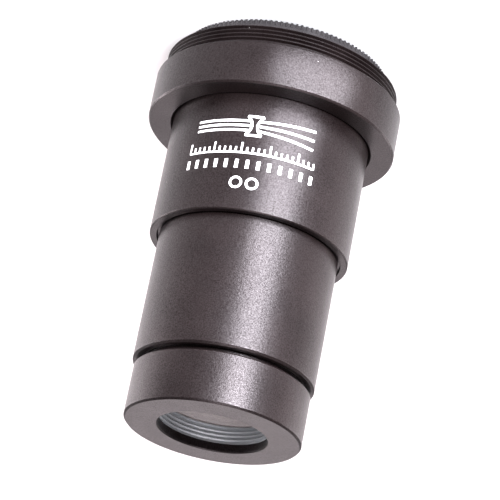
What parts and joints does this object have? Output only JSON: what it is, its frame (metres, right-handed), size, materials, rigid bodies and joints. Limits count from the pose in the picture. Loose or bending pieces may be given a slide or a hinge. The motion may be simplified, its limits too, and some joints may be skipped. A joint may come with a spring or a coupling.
{
  "type": "barlow lens",
  "caption": "Negative-lens amplifier: slip-in barrel with an unscrewing lens cell, eyepiece socket with clamp screw and dust plug, and a flanged camera thread.",
  "frame": {"origin": "centre of the standing face, the flat outer face of the dust plug, on the optical axis", "axes": "+Z along the optical axis from the wide camera-thread end to the nose; +Y towards the clamp screw; the marked side faces -Y"},
  "size_m": [0.0443, 0.0533, 0.0701],
  "materials": {
    "anodised_black": "bead-blasted, black anodised",
    "retainer_black": "turned, black anodised",
    "knob_black": "knurled, satin black anodised",
    "coated_glass": "polished, multi-coated, ground edge",
    "ring_brass": "turned, bright",
    "screw_steel": "machined thread",
    "plug_plastic": "moulded, semi-gloss, ribbed rim"
  },
  "bodies": {
    "body": {"body_tube": "anodised_black", "collar": "anodised_black", "nose_barrel": "anodised_black", "compression_ring": "ring_brass"},
    "plug": {"dust_plug": "plug_plastic"},
    "lenses": {"front_lens": "coated_glass", "rear_lens": "coated_glass"},
    "cell": {"nose_cell": "anodised_black", "lens_retainer": "retainer_black"},
    "screw": {"clamp_screw": "screw_steel"},
    "knob": {"clamp_knob": "knob_black"}
  },
  "joints": [
    {"name": "plug_pull", "type": "slide", "parent": "body", "child": "plug", "axis": [0, 0, -1], "range_m": [0, 0.02]},
    {"name": "cell_travel", "type": "slide", "parent": "body", "child": "lenses", "axis": [0, 0, 1], "range_m": [0, 0.003]},
    {"name": "cell_turn", "type": "hinge", "parent": "lenses", "child": "cell", "pos_m": [0, 0, 0.062], "axis": [0, 0, 1], "range_deg": [0, 1800]},
    {"name": "screw_travel", "type": "slide", "parent": "body", "child": "screw", "axis": [0, 1, 0], "range_m": [0, 0.0028]},
    {"name": "screw_turn", "type": "hinge", "parent": "screw", "child": "knob", "pos_m": [0, 0.028, 0.0101], "axis": [0, 1, 0], "range_deg": [0, 1440]}
  ],
  "couplings": [
    {"joint": "cell_turn", "follows": "cell_travel", "rad_per_m": 10472},
    {"joint": "screw_turn", "follows": "screw_travel", "rad_per_m": 8975.9}
  ]
}
